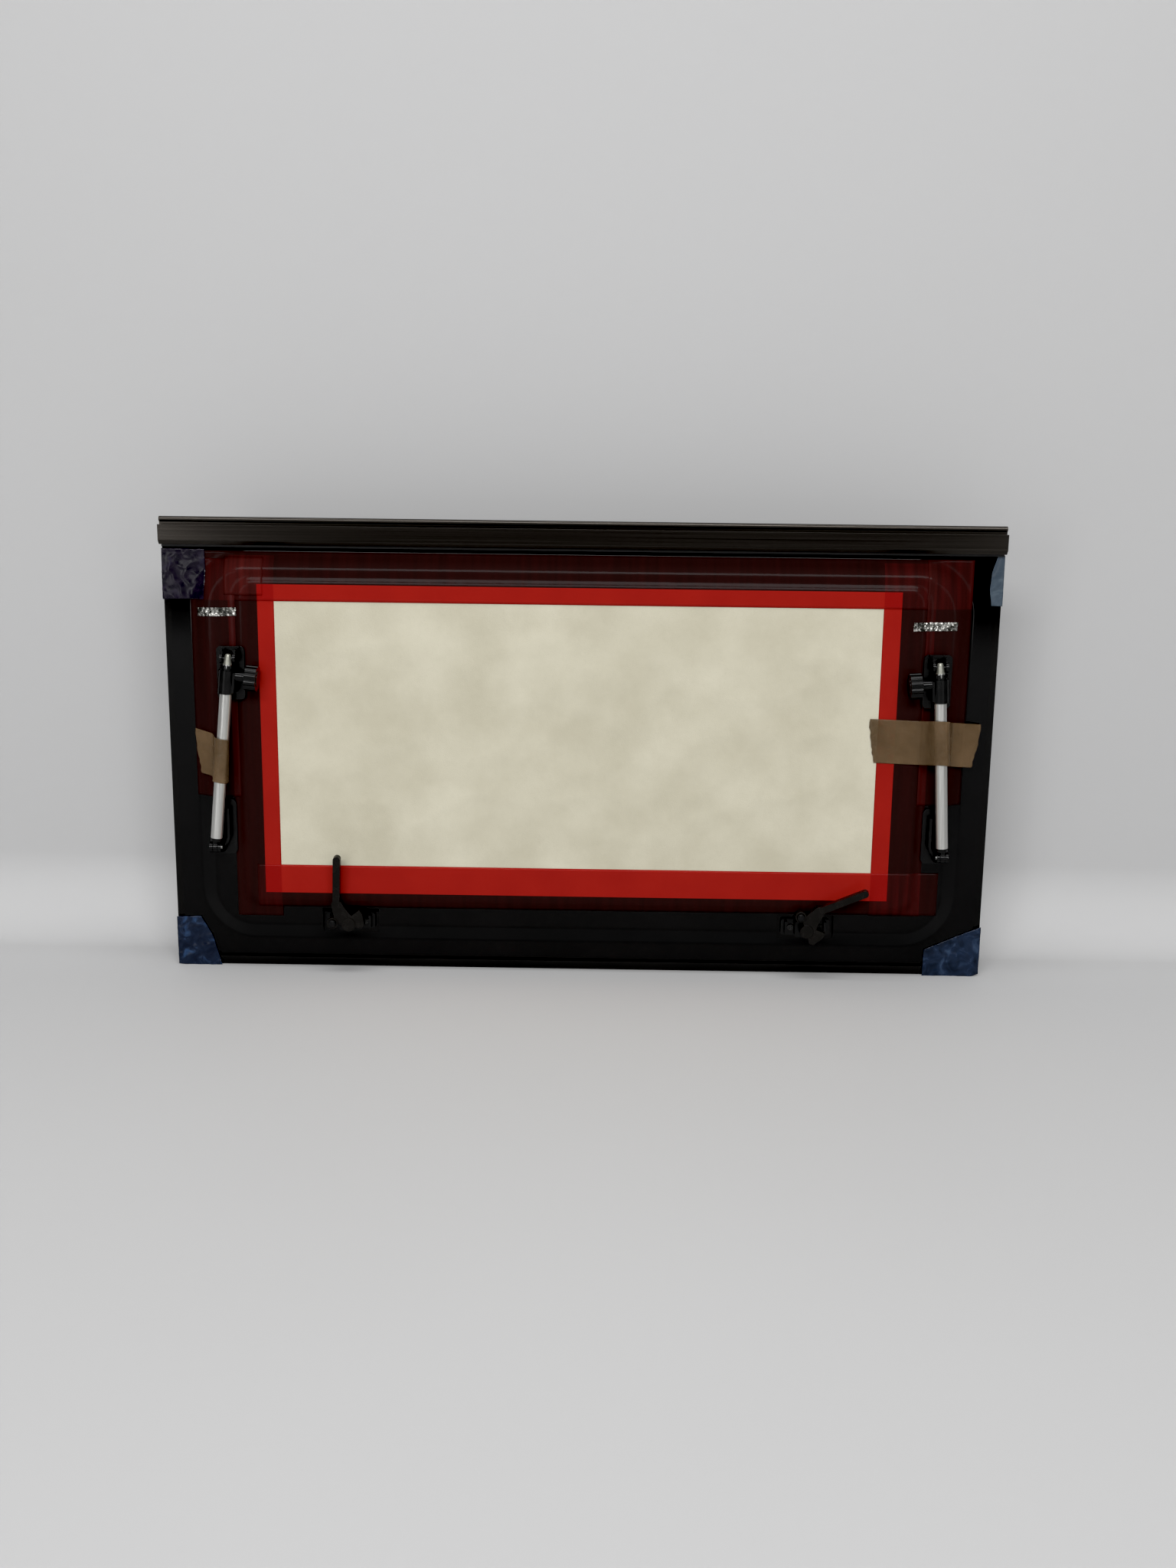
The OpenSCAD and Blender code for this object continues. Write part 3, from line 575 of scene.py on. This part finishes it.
# ---------------------------------------------------------------- foil labels
# Two narrow blank strips of self-adhesive aluminium foil, stuck on the red film and creased.

def build_foil():
    """Bright foil with fine creases, and large dark patches of painted reflection of dark surroundings"""
    material, tree, shader = new_material("creased foil", Metallic=0.9)
    place = add_node(tree, "ShaderNodeTexCoord").outputs["Object"]
    crease = add_node(
        tree, "ShaderNodeTexVoronoi", [("Vector", place), ("Scale", 260.0)], feature="F1"
    ).outputs["Distance"]
    cloud = add_node(
        tree, "ShaderNodeTexNoise", [("Vector", place), ("Scale", 300.0), ("Detail", 3.0)]
    ).outputs[0]
    # Painted reflection: large soft patches darken the foil as if it mirrored dark surroundings
    painted_dark_reflection = add_node(tree, "ShaderNodeTexNoise", [("Vector", place), ("Scale", 34.0)]).outputs[0]
    tone = blend_colour(tree, remap(tree, cloud, 0.38, 0.62), (0.06, 0.06, 0.052, 1), (0.7, 0.69, 0.65, 1))
    tone = blend_colour(tree, remap(tree, painted_dark_reflection, 0.42, 0.52, 0, 0.8), tone, (0.07, 0.07, 0.06, 1))
    tree.links.new(tone, shader.inputs["Base Color"])
    tree.links.new(remap(tree, cloud, 0.3, 0.7, 0.22, 0.42), shader.inputs["Roughness"])
    bump = add_node(
        tree, "ShaderNodeBump", [("Strength", 1.0), ("Distance", 0.003), ("Height", crease)]
    ).outputs[0]
    tree.links.new(bump, shader.inputs["Normal"])
    return material


def crinkle(x, z):
    """Height of the foil's creases, in mm"""
    return 0.15 * abs(noise.noise(Vector((x / 3.1, z / 2.3, 0.4))))


foil = build_foil()
foil_mesh = bmesh.new()
for outline in (
    [(-412, -102.6), (-369, -101.4), (-369.4, -92.4), (-412.4, -93.4)],
    [(354.6, -108.2), (401.6, -107.4), (402, -98.4), (354.8, -99.0)],
):
    strip = cut_sheet(outline, 1.2)
    lay(strip, FILM_LIFT + LAYER * 3.2, crinkle)
    holder = bpy.data.meshes.new("foil_strip")
    strip.to_mesh(holder)
    strip.free()
    foil_mesh.from_mesh(holder)
    bpy.data.meshes.remove(holder)
laid_piece("foil_strips", foil_mesh, foil, "foil", "foil_labels", 0.06)


# ---------------------------------------------------------------- blue corner tapes
# Torn pieces of glossy blue polyethylene tape protect the four corners in transit.
# They are pressed on by hand, so they pucker, fold and stand proud at their ends.

def build_blue_tape(name, colour, lighter, dark):
    """Glossy puckered tape in one blue, clouded towards a lighter and a darker one"""
    material, tree, shader = new_material(name, Specular_IOR_Level=0.2, IOR=1.5)
    place = add_node(tree, "ShaderNodeTexCoord").outputs["Object"]
    cloud = add_node(
        tree, "ShaderNodeTexNoise",
        [("Vector", place), ("Scale", 70.0), ("Detail", 5.0), ("Distortion", 1.2)],
    ).outputs[0]
    stretch = add_node(
        tree, "ShaderNodeTexVoronoi", [("Vector", place), ("Scale", 85.0)], feature="SMOOTH_F1"
    ).outputs["Distance"]
    tone = blend_colour(tree, remap(tree, cloud, 0.36, 0.6), (*dark, 1), (*colour, 1))
    tone = blend_colour(tree, remap(tree, cloud, 0.58, 0.74), tone, (*lighter, 1))
    tree.links.new(tone, shader.inputs["Base Color"])
    tree.links.new(remap(tree, cloud, 0.3, 0.7, 0.14, 0.34), shader.inputs["Roughness"])
    bump = add_node(
        tree, "ShaderNodeBump", [("Strength", 0.45), ("Distance", 0.002), ("Height", stretch)]
    ).outputs[0]
    tree.links.new(bump, shader.inputs["Normal"])
    return material


def pucker(x, z):
    """How far the blue tape stands off where it has puckered, in mm"""
    ridge = 1 - abs(noise.noise(Vector((x / 13, z / 10, 2.2))))
    return 0.25 + 0.9 * ridge ** 5 + 0.25 * noise.noise(Vector((x / 6, z / 7, 4.4)))


OVER_FILMS, ON_PANE = 1.6, 0.5
BLUE_TAPES = {
    "blue_tape_top_left": (
        [(-450, -85.4), (-404, -84.2), (-402.6, -58), (-403.4, -31.2), (-449.4, -31)],
        (0.009, 0.006, 0.014), (0.016, 0.012, 0.030), (0.004, 0.003, 0.008),
    ),
    "blue_tape_top_right": (
        [(438.5, -81.5), (450.2, -81.5), (450, -28), (443, -27), (437.3, -45), (436, -64)],
        (0.062, 0.085, 0.11), (0.095, 0.122, 0.142), (0.05, 0.068, 0.09),
    ),
    "blue_tape_bottom_left": (
        [(-450, -496), (-441, -497.6), (-401, -496.8), (-410.6, -462), (-423, -440), (-450.2, -441)],
        (0.009, 0.016, 0.036), (0.026, 0.06, 0.14), (0.004, 0.007, 0.018),
    ),
    "blue_tape_bottom_right": (
        [(387.4, -497), (441, -497.6), (450.2, -494), (450.4, -439.4), (427, -449), (388, -466.4)],
        (0.013, 0.024, 0.052), (0.034, 0.06, 0.11), (0.004, 0.008, 0.018),
    ),
}
for node, (outline, colour, lighter, dark) in BLUE_TAPES.items():
    material = build_blue_tape(node.replace("_", " "), colour, lighter, dark)
    sheet = cut_sheet(outline, 1.6)
    lay(sheet, OVER_FILMS if node == "blue_tape_top_left" else ON_PANE, pucker)
    laid_piece(node + "_torn", sheet, material, "blue_tape", node, 0.08)


# ---------------------------------------------------------------- stays
# Each stay is an aluminium tube on a moulded foot, with a clamped sliding rod.
# A lobed plastic knob on a steel spindle presses a brass shoe on the rod.
# The rod's die-cast tip is pinned to the bracket that is screwed to the window frame.

black_plastic = finished(
    "black moulded plastic", (0.003, 0.003, 0.003), (0.006, 0.006, 0.006), 80, 0.2, 0.08, 1500, 0.15,
    Specular_IOR_Level=0.2,
)
tube_aluminium = drawn_metal(
    "satin aluminium tube", (0.50, 0.50, 0.48), (0.62, 0.62, 0.60), (700, 700, 12), 0.12,
    0.34, 0.06, Metallic=0.9,
)
rod_aluminium = drawn_metal(
    "bright aluminium rod", (0.55, 0.55, 0.54), (0.66, 0.66, 0.64), (900, 900, 20), 0.08,
    0.24, 0.05, Metallic=1.0,
)
tip_zinc = finished(
    "die cast zinc", (0.32, 0.32, 0.27), (0.42, 0.42, 0.37), 260, 0.42, 0.1, 1800, 0.3, Metallic=0.8,
)
steel = finished(
    "bright steel", (0.42, 0.42, 0.41), (0.55, 0.55, 0.53), 400, 0.28, 0.08, 2600, 0.15, Metallic=1.0,
)
blackened_steel = finished(
    "blackened steel", (0.02, 0.02, 0.02), (0.045, 0.045, 0.043), 500, 0.3, 0.1, 2400, 0.2, Metallic=0.8,
)
brass = finished(
    "brass shoe", (0.52, 0.36, 0.13), (0.63, 0.46, 0.2), 400, 0.3, 0.08, 2600, 0.15, Metallic=1.0,
)
for side in SIDES:
    stay, rod, bracket = side + "_stay", side + "_stay_rod", side + "_stay_bracket"
    rounded_copy(side + "_stay_base", "sash", "black_plastic", black_plastic, 0.8)
    rounded_copy(side + "_tube_eye", stay, "black_plastic", black_plastic, 0.4)
    rounded_copy(side + "_tube", stay, "tube_aluminium", tube_aluminium, 0.25)
    rounded_copy(side + "_clamp_housing", stay, "black_plastic", black_plastic, 0.6)
    rounded_copy(side + "_knob", side + "_clamp_knob", "black_plastic", black_plastic, 1.0)
    rounded_copy(side + "_rod_tip", rod, "rod_tip_zinc", tip_zinc, 0.5, limit=20)
    rounded_copy(side + "_frame_bracket", bracket, "black_plastic", black_plastic, 0.7)
    dress(steel, side + "_stay_pin", side + "_knob_spindle")
    dress(blackened_steel, side + "_bracket_pin")
    dress(brass, side + "_clamp_shoe")
    dress(rod_aluminium, side + "_rod")


# ---------------------------------------------------------------- brown packing tapes
# A length of brown polypropylene tape ties each stay down for transit.
# It is stuck to the films, rises over the tube and comes down beyond it, torn at its ends.


def build_pack_tape():
    """Translucent brown tape with uneven glue and pulled wrinkles"""
    material, tree, shader = new_material("brown packing tape", Specular_IOR_Level=0.15, IOR=1.5)
    place = add_node(tree, "ShaderNodeTexCoord").outputs["Object"]
    glue = add_node(
        tree, "ShaderNodeTexNoise",
        [("Vector", place), ("Scale", 130.0), ("Detail", 4.0), ("Roughness", 0.55)],
    ).outputs[0]
    cloud = add_node(
        tree, "ShaderNodeTexNoise", [("Vector", place), ("Scale", 38.0), ("Detail", 3.0)]
    ).outputs[0]
    tone = blend_colour(
        tree, remap(tree, cloud, 0.35, 0.65), (0.115, 0.074, 0.038, 1), (0.175, 0.112, 0.060, 1)
    )
    tone = blend_colour(tree, remap(tree, glue, 0.5, 0.75, 0, 0.45), tone, (0.085, 0.054, 0.030, 1))
    tree.links.new(tone, shader.inputs["Base Color"])
    tree.links.new(remap(tree, cloud, 0.3, 0.7, 0.16, 0.32), shader.inputs["Roughness"])
    tree.links.new(remap(tree, glue, 0.3, 0.7, 0.58, 0.76), shader.inputs["Alpha"])
    pulled = add_node(
        tree, "ShaderNodeVectorMath", [(0, place), (1, (190, 190, 40))], operation="MULTIPLY"
    ).outputs[0]
    wrinkle = add_node(tree, "ShaderNodeTexNoise", [("Vector", pulled), ("Scale", 1.0)]).outputs[0]
    bump = add_node(
        tree, "ShaderNodeBump",
        [("Strength", 0.5), ("Distance", 0.002), ("Height", calc(tree, "ADD", wrinkle, glue))],
    ).outputs[0]
    tree.links.new(bump, shader.inputs["Normal"])
    return material


def along(path, distance):
    """The point that far along a path of points, in mm"""
    for a, b in zip(path, path[1:]):
        length = math.dist(a, b)
        if distance <= length or b is path[-1]:
            t = min(distance / length, 1.0)
            return [p + (q - p) * t for p, q in zip(a, b)]
        distance -= length


def soften(path, passes):
    """A path with its corners cut back"""
    for _ in range(passes):
        cut = [path[0]]
        for a, b in zip(path, path[1:]):
            cut += [[p + (q - p) * 0.25 for p, q in zip(a, b)], [p + (q - p) * 0.75 for p, q in zip(a, b)]]
        path = cut + [path[-1]]
    return path


TAPE_HALF = 24.0
pack_brown = build_pack_tape()
PACK_TAPES = {
    "left": {
        "mid": -257.0, "rise": 0.0, "slope": -0.2, "lean": 0.098, "start_cut": 0.0, "end_cut": -7.0,
        "path": [(-379.4, -22), (-379.5, -29), (-381.6, -33.2), (-391.8, -33.2), (-394.6, -29),
                 (-396.6, -19), (-399, -10.5), (-420.0, -3.2)],
    },
    "right": {
        "mid": -227.0, "rise": 0.20, "slope": -0.035, "lean": -0.066, "start_cut": 6.5, "end_cut": -9.5,
        "path": [(312.5, -11.6), (362, -12.2), (372, -18.6), (378.6, -30.2), (382.2, -33.4), (392.6, -33.4),
                 (396.4, -30.2), (399.6, -19), (403, -11.4), (435.5, -1.6)],
    },
}
for side, tape in PACK_TAPES.items():
    path = soften([list(p) for p in tape["path"]], 2)
    total = sum(math.dist(a, b) for a, b in zip(path, path[1:]))
    bm = bmesh.new()
    bmesh.ops.create_grid(bm, x_segments=round(total / 1.2), y_segments=40, size=0.5)
    for v in bm.verts:
        u, w = v.co.x + 0.5, v.co.y * 2
        cut = tape["start_cut"] if u < 0.5 else tape["end_cut"]
        low = (1 - w) / 2
        torn = 1.6 * noise.noise(Vector((w * 4.1, 2.0 if u < 0.5 else 7.0, 0.3)))
        shift = (cut * low ** 1.4 + torn) * abs(2 * u - 1) ** 6
        x, y = along(path, min(max(u * total + shift, 0.0), total - 0.01))
        wave = 0.5 * noise.noise(Vector((x / 11, w * 2, 6.1)))
        wave += 0.2 * noise.noise(Vector((x / 4, w * 6, 2.2)))
        climb = tape["rise"] * (-12 - y) + tape["slope"] * (x - path[0][0])
        z = tape["mid"] + w * TAPE_HALF + climb
        x += tape["lean"] * w * TAPE_HALF * min(max((-12 - y) / 20, 0), 1)
        v.co = Vector((x, y - abs(wave), z))
    bmesh.ops.scale(bm, vec=(MM, MM, MM), verts=bm.verts)
    bmesh.ops.recalc_face_normals(bm, faces=bm.faces)
    node = side + "_pack_tape"
    piece = make_piece(node + "_torn", bm, pack_brown, side + "_stay", "pack_tape", node)
    wall = piece.modifiers.new("thickness", "SOLIDIFY")
    wall.thickness = 0.08 * MM
    wall.offset = 0


# ---------------------------------------------------------------- latches
# Each latch is a lever on a spindle, whose tongue reaches over the window frame.
# Its base is screwed in the pane's pocket, and a sprung button locks the lever.

lever_plastic = finished(
    "lever plastic", (0.006, 0.0055, 0.005), (0.010, 0.009, 0.008), 90, 0.26, 0.1, 1600, 0.25,
    Specular_IOR_Level=0.14,
)
for side in SIDES:
    latch = side + "_latch"
    rounded_copy(side + "_latch_base", "sash", "black_plastic", black_plastic, 0.6)
    rounded_copy(side + "_latch_lever", latch, "lever_plastic", lever_plastic, 1.0)
    rounded_copy(side + "_latch_button", side + "_lock_button", "black_plastic", black_plastic, 0.5)
    dress(blackened_steel, side + "_latch_screws")
    dress(steel, side + "_latch_spindle", side + "_latch_spring")


# ---------------------------------------------------------------- studio and camera
# A plain pale floor runs up into a plain backdrop close behind the sash.
# Broad panels in front and overhead and two dim side panels light it softly.

def build_backdrop():
    """Matt pale paper that is seen from its front only"""
    material, tree, shader = new_material("pale studio paper", Specular_IOR_Level=0.2)
    place = add_node(tree, "ShaderNodeTexCoord").outputs["Object"]
    cloud = add_node(tree, "ShaderNodeTexNoise", [("Vector", place), ("Scale", 1.6)]).outputs[0]
    tree.links.new(
        blend_colour(tree, cloud, (0.48, 0.48, 0.482, 1), (0.50, 0.50, 0.502, 1)), shader.inputs["Base Color"]
    )
    tree.links.new(remap(tree, cloud, 0.3, 0.7, 0.55, 0.7), shader.inputs["Roughness"])
    behind = add_node(tree, "ShaderNodeNewGeometry").outputs["Backfacing"]
    tree.links.new(calc(tree, "SUBTRACT", 1.0, behind), shader.inputs["Alpha"])
    return material


backdrop_paper = build_backdrop()
floor_z = cad_box[0][2]
WALL_Y, COVE = 0.15, 0.09
bm = bmesh.new()
front = bm.verts.new((0, -4.0, floor_z))
foot = bm.verts.new((0, WALL_Y - COVE, floor_z))
bm.edges.new((front, foot))
turned = bmesh.ops.spin(
    bm, geom=[foot], cent=(0, WALL_Y - COVE, floor_z + COVE), axis=(1, 0, 0), angle=math.pi / 2, steps=24,
)
last = [v for v in turned["geom_last"] if isinstance(v, bmesh.types.BMVert)][0]
bm.edges.new((last, bm.verts.new((0, WALL_Y, floor_z + 4.0))))
bmesh.ops.remove_doubles(bm, verts=bm.verts, dist=0.0001)
made = bmesh.ops.extrude_edge_only(bm, edges=bm.edges[:])
moved = [e for e in made["geom"] if isinstance(e, bmesh.types.BMVert)]
bmesh.ops.translate(bm, vec=(4.0, 0, 0), verts=bm.verts)
bmesh.ops.translate(bm, vec=(-8.0, 0, 0), verts=moved)
bm.normal_update()
if sum(f.normal.z * f.calc_area() for f in bm.faces) < 0:
    bmesh.ops.reverse_faces(bm, faces=bm.faces)
mesh = bpy.data.meshes.new("studio_sweep")
bm.to_mesh(mesh)
bm.free()
mesh.shade_smooth()
mesh.materials.append(backdrop_paper)
sweep = bpy.data.objects.new("studio_sweep", mesh)
sweep.modifiers.new("even_faces", "WEIGHTED_NORMAL")
bpy.context.scene.collection.objects.link(sweep)


def area_light(name, place, aim, width, height, power):
    """A rectangular soft light that faces its aim"""
    lamp = bpy.data.lights.new(name, "AREA")
    lamp.shape = "RECTANGLE"
    lamp.size, lamp.size_y, lamp.energy = width, height, power
    holder = bpy.data.objects.new(name, lamp)
    holder.location = place
    holder.rotation_euler = (Vector(aim) - Vector(place)).to_track_quat("-Z", "Y").to_euler()
    bpy.context.scene.collection.objects.link(holder)


area_light("front_panel", (0, -3.4, 2.0), (0, -0.3, -0.3), 3.6, 0.9, 132)
area_light("top_panel", (0, -0.7, 3.4), (0, -0.7, -0.5), 3.6, 0.9, 66)
area_light("left_panel", (-1.7, -3.0, 0.1), (0, 0, -0.25), 0.7, 1.2, 10)
area_light("right_panel", (1.7, -3.0, 0.1), (0, 0, -0.25), 0.7, 1.2, 5)

world = bpy.data.worlds.new("studio")
world.use_nodes = True
world.node_tree.nodes["Background"].inputs["Color"].default_value = (1, 1, 1, 1)
world.node_tree.nodes["Background"].inputs["Strength"].default_value = 0.06
bpy.context.scene.world = world
bpy.context.scene.view_settings.view_transform = "Standard"
bpy.context.scene.view_settings.use_curve_mapping = True
grade = bpy.context.scene.view_settings.curve_mapping
grade.black_level = (0.007, 0.007, 0.007)
grade.update()

turn = Vector((0.21053, 0.0132, -0.01194))
right, ahead, up = Matrix.Rotation(turn.length, 3, turn.normalized())
camera = bpy.data.objects.new("camera", bpy.data.cameras.new("camera"))
camera.data.sensor_width = 36.0
camera.data.lens = 36.04
camera.matrix_world = Matrix.Translation((0.02765, -1.68505, 0.07839)) @ Matrix(
    (right, up, -ahead)
).transposed().to_4x4()
bpy.context.scene.collection.objects.link(camera)
bpy.context.scene.camera = camera
